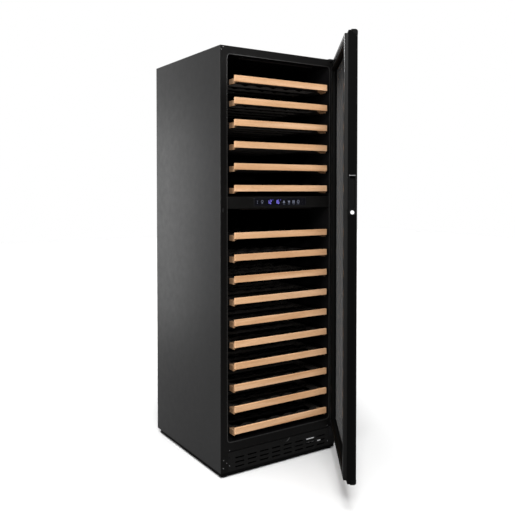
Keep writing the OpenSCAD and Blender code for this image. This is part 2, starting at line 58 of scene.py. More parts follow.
def node_box(name):
    """Lowest and highest corner of a CAD node, in millimetres."""
    low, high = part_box(name)
    return low / MM, high / MM


# ---- driving dimensions, from the frame where it holds them ---------------------------------

SIDE_LOW, SIDE_HIGH = node_box("side_panel_right")
HALF_W = SIDE_HIGH.x
PANEL_Z0 = SIDE_LOW.z
FRONT_BACK = SIDE_LOW.y  # rear face of the front frame
TOP = node_box("front_frame")[1].z
BACK = node_box("rear_panel")[1].y
FRAME_T = 4
FRONT = FRONT_BACK - FRAME_T  # front face of the front frame
SHEET = 1

CAVITY_X = 264.5  # half the opening's width
CAVITY_Z = (142, 1724)
CORNER_R = 14
KICK_HIGH = node_box("kick_plate")[1]
SEAM_Z = 103  # where the frame ends above the kick plate
KEEPER_Z = (1087, 1105)  # the lock's keeper in the left stile
FEET = ["foot_front_left", "foot_front_right", "foot_rear_left", "foot_rear_right"]

hinge_joint = next(j for j in frame["joints"] if j["name"] == "door_hinge")
HINGE = Vector(hinge_joint["pos_m"])
DOOR_OPEN = -math.radians(hinge_joint["range_deg"][0])
ON_DOOR = (
    Matrix.Translation(HINGE) @ Matrix.Rotation(DOOR_OPEN, 4, "Z") @ Matrix.Translation(-HINGE)
)
DOOR_Z = [corner.z for corner in node_box("door_end_caps")]
CAP_T = 3  # end caps: thickness, ears, depth, corner radius
CAP_R = 20
CAP_DEPTH = 23
CORNER_CUT = 9
LINER_Y = FRONT - 2.1  # inner face of the liner, with the door closed
DOOR_BACK_Y = LINER_Y - 12.7  # where the frame meets the liner
DOOR_Y = DOOR_BACK_Y - 33  # outer face of the door
INNER_GLASS_Y = DOOR_BACK_Y - 9.2
LINER_INSET = 10  # these three are measured in from the door's edge
RIM = 47.5
GLASS_INSET = 17.5
LOCK_Y = FRONT - 30
LOCK_Z = 1096
BARREL_HOLE_R = 7.4
CUP_Z = (1105, 1229)
CUP_W = 23

SHELVES = sorted(n for n in frame["nodes"] if n.startswith("shelf_") and n[6:].isdigit())
TRIM_W = 476
TRIM_H = 26
TRIM_T = 9
RAIL_W = 22
RAIL_TOP = 1  # above the middle of the trim
RAIL_H = 23
BLOCK_L = 38
SLAT_W = 28
SLAT_H = 13
JOINT_GAP = 0.2


# ---- outlines -------------------------------------------------------------------------------

def arc(cx, cy, r, start, stop, steps=6):
    """Points on an arc, both ends included, with angles in degrees."""
    angles = [math.radians(start + (stop - start) * k / steps) for k in range(steps + 1)]
    return [(cx + r * math.cos(a), cy + r * math.sin(a)) for a in angles]


def rectangle(x0, x1, z0, z1):
    """Corners, anticlockwise from the upper right."""
    return [(x1, z1), (x0, z1), (x0, z0), (x1, z0)]


def round_rect(x0, x1, z0, z1, r, steps=5):
    """A rectangle with corners of radius r."""
    return (
        arc(x1 - r, z1 - r, r, 0, 90, steps)
        + arc(x0 + r, z1 - r, r, 90, 180, steps)
        + arc(x0 + r, z0 + r, r, 180, 270, steps)
        + arc(x1 - r, z0 + r, r, 270, 360, steps)
    )


def circle(cx, cy, r, steps=24):
    return arc(cx, cy, r, 0, 360 * (1 - 1 / steps), steps - 1)


# ---- solids, in millimetres -----------------------------------------------------------------

def spot(axis, a, b, depth):
    """A point from its place (a, b) in the outline's plane and its depth along the axis."""
    return {"x": (depth, a, b), "y": (a, depth, b), "z": (a, b, depth)}[axis]


def add_plate(bm, outline, low, high, axis="y", holes=()):
    """An outline with holes, made solid from low to high along the axis."""
    edges = []
    for loop in [outline, *holes]:
        verts = [bm.verts.new(spot(axis, a, b, low)) for a, b in loop]
        edges += [bm.edges.new((verts[i - 1], verts[i])) for i in range(len(verts))]
    if holes:
        filled = bmesh.ops.triangle_fill(bm, use_beauty=True, use_dissolve=False, edges=edges)
        faces = [g for g in filled["geom"] if isinstance(g, bmesh.types.BMFace)]
    else:
        faces = [bm.faces.new(verts)]
    raised = bmesh.ops.extrude_face_region(bm, geom=faces)["geom"]
    moved = [g for g in raised if isinstance(g, bmesh.types.BMVert)]
    bmesh.ops.translate(bm, vec=spot(axis, 0, 0, high - low), verts=moved)


def add_box(bm, low, high):
    low, high = Vector(low), Vector(high)
    size = high - low
    place = Matrix.Translation((low + high) / 2) @ Matrix.Diagonal((*size, 1))
    bmesh.ops.create_cube(bm, size=1, matrix=place)


def add_ring(bm, profile, loop):
    """A closed profile of (offset, y) points carried round loop(offset), a list of (x, z)."""
    rows = [[bm.verts.new((x, y, z)) for x, z in loop(out)] for out, y in profile]
    for i in range(len(rows)):
        a, b = rows[i - 1], rows[i]
        for k in range(len(a)):
            bm.faces.new((a[k - 1], a[k], b[k], b[k - 1]))


def add_lathe(bm, profile, centre, axis="z", steps=24):
    """A profile of (radius, height) points turned round an axis through centre."""
    turn = {
        "x": Matrix.Rotation(math.radians(90), 4, "Y"),
        "y": Matrix.Rotation(math.radians(-90), 4, "X"),
        "z": Matrix.Identity(4),
    }[axis]
    place = Matrix.Translation(centre) @ turn
    rows = []
    for r, h in profile:
        count = steps if r > 0 else 1
        ring = [2 * math.pi * k / steps for k in range(count)]
        rows.append([bm.verts.new(place @ Vector((r * math.cos(a), r * math.sin(a), h)))
                     for a in ring])
    for a, b in zip(rows, rows[1:]):
        for k in range(steps):
            corners = [a[k % len(a)], a[(k + 1) % len(a)], b[(k + 1) % len(b)], b[k % len(b)]]
            bm.faces.new(list(dict.fromkeys(corners)))


def mirror_x(bm):
    """Adds the mirror image of all that is drawn so far, across the plane x = 0."""
    made = bmesh.ops.duplicate(bm, geom=list(bm.verts) + list(bm.edges) + list(bm.faces))
    verts = [g for g in made["geom"] if isinstance(g, bmesh.types.BMVert)]
    for v in verts:
        v.co.x = -v.co.x


def piece(name, bm, material, body, replaces=(), bevel=0.0, place=None):
    """Makes an object of what is drawn in bm, rounds its edges and rides it on a body."""
    bmesh.ops.recalc_face_normals(bm, faces=bm.faces)
    mesh = bpy.data.meshes.new(name)
    bm.to_mesh(mesh)
    bm.free()
    mesh.transform(Matrix.Scale(MM, 4))
    mesh.materials.append(material)
    mesh.shade_smooth()
    obj = bpy.data.objects.new(name, mesh)
    bpy.context.scene.collection.objects.link(obj)
    if bevel:
        round_edges(obj, bevel)
    else:
        mesh.set_sharp_from_angle(angle=math.radians(32))
    if place is not None:
        obj.matrix_world = place
    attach(obj, body)
    if replaces:
        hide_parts(*replaces)


def round_edges(obj, width):
    edge = obj.modifiers.new("edges", "BEVEL")
    edge.width = width * MM
    edge.segments = 2
    edge.limit_method = "ANGLE"
    edge.angle_limit = math.radians(38)
    edge.harden_normals = True


def cut_away(bm, cutter_bm):
    """bm with the shape in cutter_bm taken out of it."""
    objects = []
    for name, source in (("cut_from", bm), ("cutter", cutter_bm)):
        bmesh.ops.recalc_face_normals(source, faces=source.faces)
        mesh = bpy.data.meshes.new(name)
        source.to_mesh(mesh)
        source.free()
        obj = bpy.data.objects.new(name, mesh)
        bpy.context.scene.collection.objects.link(obj)
        objects.append(obj)
    target, cutter = objects
    cut = target.modifiers.new("cut", "BOOLEAN")
    cut.operation = "DIFFERENCE"
    cut.solver = "EXACT"
    cut.object = cutter
    bpy.context.view_layer.update()
    evaluated = target.evaluated_get(bpy.context.evaluated_depsgraph_get())
    made = bmesh.new()
    made.from_mesh(evaluated.to_mesh())
    evaluated.to_mesh_clear()
    for obj in objects:
        mesh = obj.data
        bpy.data.objects.remove(obj)
        bpy.data.meshes.remove(mesh)
    return made


# ---- material graphs ------------------------------------------------------------------------

class Graph:
    """A node material with short calls for its nodes."""

    def __init__(self, name, colour, roughness, **sockets):
        self.material = bpy.data.materials.new(name)
        self.material.use_nodes = True
        self.material.diffuse_color = (*colour, 1)
        self.tree = self.material.node_tree
        self.shader = self.tree.nodes["Principled BSDF"]
        self.shader.inputs["Base Color"].default_value = (*colour, 1)
        self.shader.inputs["Roughness"].default_value = roughness
        for socket, value in sockets.items():
            self.shader.inputs[socket.replace("_", " ")].default_value = value
        self.place = self.add("ShaderNodeTexCoord").outputs["Object"]

    def add(self, kind, inputs=None, **settings):
        node = self.tree.nodes.new(kind)
        for key, value in settings.items():
            setattr(node, key, value)
        for key, value in (inputs or {}).items():
            if isinstance(value, bpy.types.NodeSocket):
                self.tree.links.new(value, node.inputs[key])
            else:
                node.inputs[key].default_value = value
        return node

    def stretched(self, scale):
        node = self.add("ShaderNodeMapping", {"Vector": self.place, "Scale": scale})
        return node.outputs[0]

    def noise(self, scale, detail=3.0, stretch=None, distortion=0.0):
        where = self.stretched(stretch) if stretch else self.place
        inputs = {"Vector": where, "Scale": scale, "Detail": detail, "Distortion": distortion}
        return self.add("ShaderNodeTexNoise", inputs).outputs[0]

    def ramp(self, factor, stops):
        """Colours, or grey values, at places from 0 to 1."""
        node = self.add("ShaderNodeValToRGB", {"Fac": factor})
        elements = node.color_ramp.elements
        while len(elements) < len(stops):
            elements.new(0.5)
        for element, (where, colour) in zip(elements, stops):
            element.position = where
            rgb = colour if hasattr(colour, "__len__") else (colour,) * 3
            element.color = (*rgb, 1)
        return node.outputs["Color"]

    def math(self, operation, a, b):
        return self.add("ShaderNodeMath", {0: a, 1: b}, operation=operation).outputs[0]

    def mix(self, factor, a, b, blend="MIX"):
        """Mixes two colours, which are the node's inputs 6 and 7 and its output 2."""
        node = self.add("ShaderNodeMix", {0: factor}, data_type="RGBA", blend_type=blend)
        for socket, value in ((node.inputs[6], a), (node.inputs[7], b)):
            if isinstance(value, bpy.types.NodeSocket):
                self.tree.links.new(value, socket)
            else:
                socket.default_value = (*value, 1)
        return node.outputs[2]

    def link(self, value, socket):
        self.tree.links.new(value, self.shader.inputs[socket])

    def bump(self, height, distance, strength=1.0):
        inputs = {"Height": height, "Distance": distance, "Strength": strength}
        self.link(self.add("ShaderNodeBump", inputs).outputs[0], "Normal")


def shades(colour, spread):
    """The colour a little darker and a little lighter."""
    return [tuple(c * (1 - spread) for c in colour), tuple(c * (1 + spread) for c in colour)]


def painted(name, colour, roughness, grain=900.0, depth=0.00006, **sockets):
    """Baked paint: orange peel, a faint drift of tone and slightly uneven gloss."""
    g = Graph(name, colour, roughness, **sockets)
    dark, light = shades(colour, 0.08)
    g.link(g.ramp(g.noise(2.6, 4.0), [(0.3, dark), (0.7, light)]), "Base Color")
    gloss = g.ramp(g.noise(35.0, 5.0), [(0.3, roughness * 0.93), (0.7, roughness * 1.07)])
    g.link(gloss, "Roughness")
    g.bump(g.noise(grain, 2.0), depth)
    return g.material


def moulded(name, colour, roughness, grain=1600.0, **sockets):
    """Moulded plastic with a fine eroded texture and a few rubbed places."""
    g = Graph(name, colour, roughness, **sockets)
    dark, light = shades(colour, 0.1)
    g.link(g.ramp(g.noise(6.0, 5.0), [(0.3, dark), (0.72, light)]), "Base Color")
    rubbed = g.ramp(g.noise(14.0, 6.0), [(0.35, roughness * 0.88), (0.65, roughness * 1.1)])
    g.link(rubbed, "Roughness")
    cells = g.add("ShaderNodeTexVoronoi", {"Vector": g.place, "Scale": grain}).outputs["Distance"]
    g.bump(g.math("ADD", cells, g.noise(grain * 0.6, 2.0)), 0.00008, 0.6)
    return g.material


def grey_with_painted_shade(name):
    """Grey moulding with painted shade: darker towards the hinge side and the foot of the door.
    """
    g = Graph(name, (0.0115, 0.0113, 0.011), 0.5, Specular_IOR_Level=0.06)
    parts = g.add("ShaderNodeSeparateXYZ", {0: g.place}).outputs
    # across and up are painted shade: the grey darkens towards the hinge side and towards the
    # foot.
    across = g.ramp(g.math("ADD", parts["X"], 0.5), [(0.245, 1.0), (0.275, 0.2)])
    up = g.ramp(g.math("MULTIPLY", parts["Z"], 0.5), [(0.05, 0.45), (0.85, 1.0)])
    dark, light = shades((0.0125, 0.0123, 0.012), 0.1)
    fine = g.ramp(g.noise(1600.0), [(0.3, dark), (0.7, light)])
    g.link(g.mix(1.0, g.mix(1.0, across, up, "MULTIPLY"), fine, "MULTIPLY"), "Base Color")
    g.bump(g.noise(1600.0, 2.0), 0.00008)
    return g.material


def metal(name, colour, roughness, stretch=(1, 1, 1), grain=500.0, metallic=1.0):
    """Plain or brushed metal, with fine lines where the stretch makes them."""
    g = Graph(name, colour, roughness, Metallic=metallic)
    dark, light = shades(colour, 0.07)
    lines = g.noise(grain, 4.0, stretch)
    g.link(g.ramp(lines, [(0.3, dark), (0.7, light)]), "Base Color")
    g.link(g.ramp(lines, [(0.3, roughness * 0.8), (0.7, roughness * 1.25)]), "Roughness")
    g.bump(lines, 0.00002)
    return g.material


def beech(name, along, tone=1.0):
    """Oiled beech: soft bands and fine fibres along the board, with short dark rays; a tone below
    1 darkens the whole wood as painted shade.
    """
    stretch = {"x": (1, 16, 16), "y": (16, 1, 16)}[along]
    g = Graph(name, (0.62, 0.37, 0.19), 0.45, Specular_IOR_Level=0.35)
    bands = g.noise(2.4, 5.0, stretch, 0.7)
    browns = [(0.28, (0.55, 0.295, 0.145)), (0.5, (0.66, 0.385, 0.205)),
              (0.75, (0.75, 0.47, 0.28))]
    wood = g.ramp(bands, [(at, tuple(c * tone for c in brown)) for at, brown in browns])
    fibres = g.noise(26.0, 4.0, stretch)
    wood = g.mix(0.3, wood, g.ramp(fibres, [(0.3, 0.62), (0.7, 1.0)]), "MULTIPLY")
    rays = g.noise(95.0, 1.0, tuple(1 if s == 1 else 7 for s in stretch))
    marks = g.ramp(rays, [(0.60, 0.0), (0.68, 1.0)])
    wood = g.mix(g.math("MULTIPLY", marks, 0.35), wood, (0.33, 0.17, 0.08))
    drift = g.noise(7.0, 2.0)
    wood = g.mix(0.35, wood, g.ramp(drift, [(0.3, 0.72), (0.7, 1.0)]), "MULTIPLY")
    g.link(wood, "Base Color")
    g.link(g.ramp(fibres, [(0.3, 0.40), (0.7, 0.52)]), "Roughness")
    g.bump(g.math("ADD", fibres, g.math("MULTIPLY", rays, 0.5)), 0.0001, 0.5)
    return g.material


def rubber(name, colour, roughness=0.7, gloss=0.2):
    """Black rubber with a fine grain and a mottled tone."""
    g = Graph(name, colour, roughness, Specular_IOR_Level=gloss)
    dark, light = shades(colour, 0.25)
    g.link(g.ramp(g.noise(60.0, 5.0), [(0.3, dark), (0.7, light)]), "Base Color")
    g.bump(g.noise(2200.0, 2.0), 0.00005)
    return g.material


def tinted(name, colour, clear, streak=0.0, **sockets):
    """Coated glass: part of the light goes through, part is scattered by the coating."""
    g = Graph(name, colour, 0.03, Transmission_Weight=clear, IOR=1.5, **sockets)
    dark, light = shades(colour, max(streak, 0.03))
    bands = g.noise(9.0, 4.0, (5, 5, 0.12))
    g.link(g.ramp(bands, [(0.3, dark), (0.7, light)]), "Base Color")
    g.link(g.ramp(g.noise(22.0, 5.0), [(0.4, 0.02), (0.75, 0.05)]), "Roughness")
    return g.material


def glowing(name, colour, strength):
    """Lit signs of the display."""
    g = Graph(name, (0.02, 0.02, 0.03), 0.4, Emission_Strength=strength)
    dark, light = shades(colour, 0.05)
    g.link(g.ramp(g.noise(300.0, 2.0), [(0.3, dark), (0.7, light)]), "Emission Color")
    return g.material


def foam(name):
    """Dark foam with open cells."""
    dark, light = (0.012, 0.012, 0.012), (0.024, 0.024, 0.025)
    g = Graph(name, (0.02, 0.02, 0.02), 0.8, Specular_IOR_Level=0.2)
    cells = g.noise(420.0, 5.0)
    g.link(g.ramp(cells, [(0.3, dark), (0.7, light)]), "Base Color")
    g.bump(cells, 0.0006)
    return g.material


def circuit_board(name):
    """Green board with a pattern of tracks."""
    g = Graph(name, (0.02, 0.12, 0.05), 0.35)
    tracks = g.add("ShaderNodeTexBrick", {"Vector": g.place, "Scale": 160.0}).outputs["Fac"]
    g.link(g.mix(tracks, (0.015, 0.10, 0.04), (0.03, 0.2, 0.08)), "Base Color")
    g.bump(tracks, 0.00005)
    return g.material


def pale_floor(name):
    """Pale to the eye, with a painted shadow greying it round the feet, and throws little light
    on the cabinet.
    """
    painted_shadow_grey, diffuse, mirrored = [(level,) * 3 for level in (0.59, 0.10, 0.13)]
    g = Graph(name, (0.9, 0.9, 0.9), 0.6, Specular_IOR_Level=0.1)
    distance = g.add("ShaderNodeVectorMath", {0: g.place}, operation="LENGTH").outputs["Value"]
    # away fades the painted shadow out with distance from the middle of the floor.
    away = g.ramp(g.math("MULTIPLY", distance, 0.25), [(0.15, 0.0), (0.6, 1.0)])
    pale = g.mix(away, painted_shadow_grey, g.ramp(g.noise(0.7, 3.0), [(0.3, 0.90), (0.7, 0.93)]))
    path = g.add("ShaderNodeLightPath").outputs
    thrown = g.mix(path["Is Glossy Ray"], diffuse, mirrored)
    g.link(g.mix(path["Is Camera Ray"], thrown, pale), "Base Color")
    return g.material


CASE_PAINT = painted("case_paint", (0.0088, 0.0088, 0.009), 0.46)
FRAME_PAINT = painted("frame_paint", (0.0029, 0.0027, 0.0026), 0.4, Specular_IOR_Level=0.17)
BEAD_PAINT = painted("bead_paint", (0.013, 0.0127, 0.0123), 0.3, Specular_IOR_Level=0.7)
TRAY_PAINT = painted("tray_paint", (0.0018, 0.0018, 0.0018), 0.6, Specular_IOR_Level=0.05)
BLACK_STEEL = painted("black_steel", (0.005, 0.005, 0.0055), 0.45, Specular_IOR_Level=0.2)
DOOR_PAINT = painted("door_paint", (0.0020, 0.0020, 0.0020), 0.55, Specular_IOR_Level=0.015)
LINER_PLASTIC = moulded("liner_plastic", (0.0025, 0.0023, 0.0025), 0.55, Specular_IOR_Level=0.1)
DIVIDER_PLASTIC = moulded("divider_plastic", (0.005, 0.0048, 0.0046), 0.45,
                          Specular_IOR_Level=0.15)
DIVIDER_RIM = moulded("divider_rim", (0.011, 0.011, 0.012), 0.35, Specular_IOR_Level=0.3)
KICK_PLASTIC = moulded("kick_plastic", (0.0048, 0.0047, 0.0046), 0.42, Specular_IOR_Level=0.18)
# The door's grey carries painted shade towards the hinge side and the foot.
DOOR_GREY_PAINTED_SHADE = grey_with_painted_shade("door_grey")
GRIP_PLASTIC = moulded("grip_plastic", (0.0045, 0.0045, 0.0045), 0.45, Specular_IOR_Level=0.05)
CAP_PLASTIC = moulded("cap_plastic", (0.003, 0.003, 0.003), 0.5, Specular_IOR_Level=0.03)
MOULDED_BLACK = moulded("moulded_black", (0.005, 0.005, 0.0055), 0.5, Specular_IOR_Level=0.2)
NYLON = moulded("nylon", (0.62, 0.60, 0.55), 0.45)
GASKET_RUBBER = rubber("gasket_rubber", (0.003, 0.003, 0.0032), 0.22, 0.9)
MOUNT_RUBBER = rubber("mount_rubber", (0.01, 0.01, 0.01))
BRIGHT_STEEL = metal("bright_steel", (0.66, 0.67, 0.68), 0.25)
LOCK_STEEL = metal("lock_steel", (0.86, 0.86, 0.87), 0.3, metallic=0.35)
LIP_STEEL = metal("lip_steel", (0.21, 0.21, 0.215), 0.35, metallic=0.35)
PLUG_STEEL = metal("plug_steel", (0.30, 0.30, 0.31), 0.45)
RUNNER_STEEL = metal("runner_steel", (0.012, 0.012, 0.013), 0.45, (6, 1, 6), 220.0)
ALUMINIUM = metal("fin_aluminium", (0.80, 0.81, 0.82), 0.3, (1, 1, 8), 300.0)
SPACER_METAL = metal("spacer_aluminium", (0.30, 0.31, 0.32), 0.35, (1, 1, 6), 300.0)
COMPRESSOR_PAINT = painted("compressor_paint", (0.012, 0.012, 0.012), 0.3, 500.0, 0.0001)
BEECH_X = beech("beech_along_x", "x")
# The end blocks' beech is a darker copy of the trims' beech, as painted shade.
BEECH_Y_PAINTED_SHADE = beech("beech_along_y_painted_shade", "y", 0.36)
# Near-black slats and rear rails: painted shade, standing for the dark behind the trims.
SLAT_PAINTED_SHADE = painted("slat_black_painted_shade", (0.012, 0.0105, 0.0095), 0.5, 260.0, 0.0001,
                       Specular_IOR_Level=0.2)
OUTER_GLASS = tinted("outer_glass", (0.045, 0.047, 0.05), 0.9)
CLEAR_GLASS = tinted("clear_glass", (0.62, 0.64, 0.64), 0.97)
INNER_GLASS = tinted("inner_glass", (0.24, 0.243, 0.247), 0.8, 0.3, Specular_IOR_Level=0.08,
                     Sheen_Weight=0.075, Sheen_Roughness=0.35)
FRIT = painted("frit_enamel", (0.004, 0.004, 0.0045), 0.25, 2500.0, 0.00001)
DISPLAY_GLASS = painted("display_glass", (0.004, 0.004, 0.006), 0.08, 60.0, 0.000003)
LED_LENS = moulded("led_lens", (0.012, 0.012, 0.014), 0.3, Specular_IOR_Level=0.2)
DIGIT_LIGHT = glowing("digit_light", (0.24, 0.20, 1.0), 1.25)
ICON_LIGHT = glowing("icon_light", (0.42, 0.47, 0.62), 0.4)
FOAM = foam("foam")
# A bright pad as painted light, seen through the kick plate's slots.
SLOT_LIGHT_PAD = moulded("light_pad", (0.86, 0.87, 0.88), 0.45, 400.0, Metallic=0.25)
CIRCUIT_BOARD = circuit_board("circuit_board")


# ---- camera, floor and light ----------------------------------------------------------------

CAMERA_PLACE = (-1.5879, -2.5757, 1.1769)
CAMERA_DOWN = 1.437  # degrees
CAMERA_TURN = -32.935
LENS = 45.23
SHIFT_Y = -0.10

WORLD_AXIS = (0.35, 0.92, 0.15)  # the light comes from this way
WORLD_FACING = (-0.2, 0.9)  # how far a direction points along the axis ...
WORLD_LEVEL = (0.03, 0.71)  # ... and how bright it is there

LAMPS = (  # name, place, target, size, watts
    ("key", (-2.65, -4.35, 4.1), (0, -0.3, 1.3), (1.7, 1.7), 390),
    ("side_wash", (-1.2, 2.4, 0.9), (-0.3, 0.3, 0.9), (0.6, 1.7), 8.2),
    ("door_fill", (-3.5, -0.9, 1.3), (0.1, -0.6, 1.1), (1.0, 1.6), 85),
    ("rim", (1.15, -2.75, 2.5), (-0.28, -0.31, 1.72), (0.5, 0.5), 6),
)
SUN_STRENGTH = 3.2
SUN_SPREAD = 35  # degrees
SUN_TILT = (8, -6)


def make_camera():
    data = bpy.data.cameras.new("camera")
    data.sensor_width = 36
    data.lens = LENS
    data.shift_y = SHIFT_Y
    camera = bpy.data.objects.new("camera", data)
    camera.location = CAMERA_PLACE
    camera.rotation_euler = (math.radians(90 - CAMERA_DOWN), 0, math.radians(CAMERA_TURN))
    bpy.context.scene.collection.objects.link(camera)
    bpy.context.scene.camera = camera


def make_floor():
    bm = bmesh.new()
    bmesh.ops.create_grid(bm, x_segments=8, y_segments=8, size=12)
    mesh = bpy.data.meshes.new("floor")
    bm.to_mesh(mesh)
    bm.free()
    mesh.materials.append(pale_floor("pale_floor"))
    floor = bpy.data.objects.new("floor", mesh)
    bpy.context.scene.collection.objects.link(floor)


def make_world():
    """White to the eye and through glass; as a light it comes mostly from behind the object."""
    world = bpy.data.worlds.new("studio")
    bpy.context.scene.world = world
    world.use_nodes = True
    nodes, links = world.node_tree.nodes, world.node_tree.links
    background = nodes["Background"]
    direction = nodes.new("ShaderNodeTexCoord").outputs["Generated"]
    facing = nodes.new("ShaderNodeVectorMath")
    facing.operation = "DOT_PRODUCT"
    facing.inputs[1].default_value = WORLD_AXIS
    links.new(direction, facing.inputs[0])
    level = nodes.new("ShaderNodeMapRange")
    for socket, value in zip(("From Min", "From Max", "To Min", "To Max"),
                             WORLD_FACING + WORLD_LEVEL):
        level.inputs[socket].default_value = value
    links.new(facing.outputs["Value"], level.inputs["Value"])
    path = nodes.new("ShaderNodeLightPath")
    seen = nodes.new("ShaderNodeMath")
    seen.operation = "MAXIMUM"
    links.new(path.outputs["Is Camera Ray"], seen.inputs[0])
    links.new(path.outputs["Is Transmission Ray"], seen.inputs[1])
    strength = nodes.new("ShaderNodeMix")
    links.new(seen.outputs[0], strength.inputs[0])
    links.new(level.outputs[0], strength.inputs[2])
    strength.inputs[3].default_value = 1.0
    links.new(strength.outputs[0], background.inputs["Strength"])
    background.inputs["Color"].default_value = (1, 1, 1, 1)


def area_light(name, place, target, size, watts):
    """A rectangular lamp that faces its target."""
    data = bpy.data.lights.new(name, "AREA")
    data.shape = "RECTANGLE"
    data.size, data.size_y = size
    data.energy = watts
    lamp = bpy.data.objects.new(name, data)
    lamp.location = place
    aim = Vector(target) - Vector(place)
    lamp.rotation_euler = aim.to_track_quat("-Z", "Y").to_euler()
    bpy.context.scene.collection.objects.link(lamp)


def make_lights():
    """Four lamps, and a wide sun from above for the soft shadow on the floor."""
    for lamp in LAMPS:
        area_light(*lamp)
    sun = bpy.data.lights.new("overhead", "SUN")
    sun.energy = SUN_STRENGTH
    sun.angle = math.radians(SUN_SPREAD)
    lamp = bpy.data.objects.new("overhead", sun)
    lamp.rotation_euler = (math.radians(SUN_TILT[0]), math.radians(SUN_TILT[1]), 0)
    bpy.context.scene.collection.objects.link(lamp)


# ---- shell ----------------------------------------------------------------------------------

def side_sheet(bm):
    """Folded side sheet on the right, with rounded bends and a hem at either end."""
    r, inner = 2.2, 1.2
    front_hem, rear_hem = 17, 13
    y0, y1 = FRONT_BACK, BACK - SHEET
    x = HALF_W
    outline = (
        [(x - front_hem, y0)] + arc(x - r, y0 + r, r, 270, 360, 4)
        + arc(x - r, y1 - r, r, 0, 90, 4) + [(x - rear_hem, y1), (x - rear_hem, y1 - SHEET)]
        + arc(x - r, y1 - r, inner, 90, 0, 4) + arc(x - r, y0 + r, inner, 0, -90, 4)
        + [(x - front_hem, y0 + SHEET)]
    )
    add_plate(bm, outline, PANEL_Z0, SIDE_HIGH.z, "z")


def side_panels():
    for name, sign in (("right", 1), ("left", -1)):
        bm = bmesh.new()
        side_sheet(bm)
        for v in bm.verts:
            v.co.x *= sign
        node = f"side_panel_{name}"
        piece(f"side_skin_{name}", bm, CASE_PAINT, "cabinet", [node])


def top_panel():
    """Lid with a shallow raised field and rolled edges."""
    side_margin, front_margin, corner_r = 26, 60, 18
    bm = bmesh.new()
    low, high = node_box("top_panel")
    add_box(bm, low, high)
    field = round_rect(low.x + side_margin, high.x - side_margin, low.y + front_margin,
                       high.y - side_margin, corner_r)
    add_plate(bm, field, high.z - 0.2, high.z + 1.2, "z")
    piece("top_skin", bm, CASE_PAINT, "cabinet", ["top_panel"], 0.5)


def screw_head(bm, centre):
    """Pan head with a recess in its middle, facing the rear."""
    r, height = 3.6, 2.0
    profile = [(0, height * 0.35), (r * 0.3, height * 0.35), (r * 0.42, height * 0.95),
               (r * 0.75, height * 0.8), (r, height * 0.3), (r, 0)]
    add_lathe(bm, profile, centre, "y", 16)


def rear_panel():
    """Rear sheet with four pressed ribs, and the screws along its edges."""
    rib_w, rib_r, rib_margin = 20, 9.9, 90
    low, high = node_box("rear_panel")
    bm = bmesh.new()
    add_box(bm, low, high)
    for x in (-190, -70, 50, 170):
        rib = round_rect(x, x + rib_w, low.z + rib_margin, high.z - rib_margin, rib_r, 4)
        add_plate(bm, rib, high.y - 0.4, high.y + 1.6)
    piece("rear_skin", bm, BLACK_STEEL, "cabinet", ["rear_panel"], 0.4)
    bm = bmesh.new()
    for x in (low.x + 8, high.x - 8):
        for z in range(360, 1740, 230):
            screw_head(bm, (x, high.y, z))
    for x in (-200, 0, 200):
        screw_head(bm, (x, high.y, high.z - 9))
    piece("rear_screws", bm, BRIGHT_STEEL, "cabinet")


def rear_grille():
    """Cover of the machine bay, with rows of slots and the window for the mains inlet."""
    slot_half, slot_h, slot_r = 30, 6, 2.9
    inlet = round_rect(188, 242, 46, 84, 2, 3)
    low, high = node_box("rear_grille")
    slots = [round_rect(x - slot_half, x + slot_half, z, z + slot_h, slot_r, 3)
             for x in range(-220, 221, 88) for z in range(90, 253, 18) if x < 160 or z > 150]
    bm = bmesh.new()
    add_plate(bm, rectangle(low.x, high.x, low.z, high.z), low.y, high.y, "y", [*slots, inlet])
    piece("bay_cover", bm, BLACK_STEEL, "cabinet", ["rear_grille"], 0.25)


def base_tray():
    """Shallow tray with round corners, threaded bosses and air slots."""
    low, high = node_box("base_tray")
    wall, front_r, rear_r = 1.5, 6, 48
    boss_r, bore_r = 10, 5.2

    def ring(inset):
        x, y0, y1 = high.x - inset, low.y + inset, high.y - inset
        front, rear = front_r - inset, rear_r - inset
        return (arc(x - rear, y1 - rear, rear, 0, 90, 8)
                + arc(rear - x, y1 - rear, rear, 90, 180, 8)
                + arc(front - x, y0 + front, front, 180, 270, 4)
                + arc(x - front, y0 + front, front, 270, 360, 4))

    outline, inner = ring(0), ring(wall)
    vents = [round_rect(x - 12, x + 12, y - 20, y + 20, 4, 3)
             for x in range(-160, 161, 40) for y in (-120, -60, 0, 60)]
    bm = bmesh.new()
    add_plate(bm, outline, low.z, low.z + wall, "z", vents)
    add_plate(bm, outline, low.z + wall, PANEL_Z0, "z", [inner])
    for foot in FEET:
        x, y = foot_place(foot)
        add_plate(bm, circle(x, y, boss_r), low.z + wall, high.z, "z", [circle(x, y, bore_r)])
    piece("tray", bm, TRAY_PAINT, "cabinet", ["base_tray"], 0.6)


def foot_place(name):
    """X and Y of a foot's axis."""
    low, high = node_box(name)
    return (low.x + high.x) / 2, (low.y + high.y) / 2


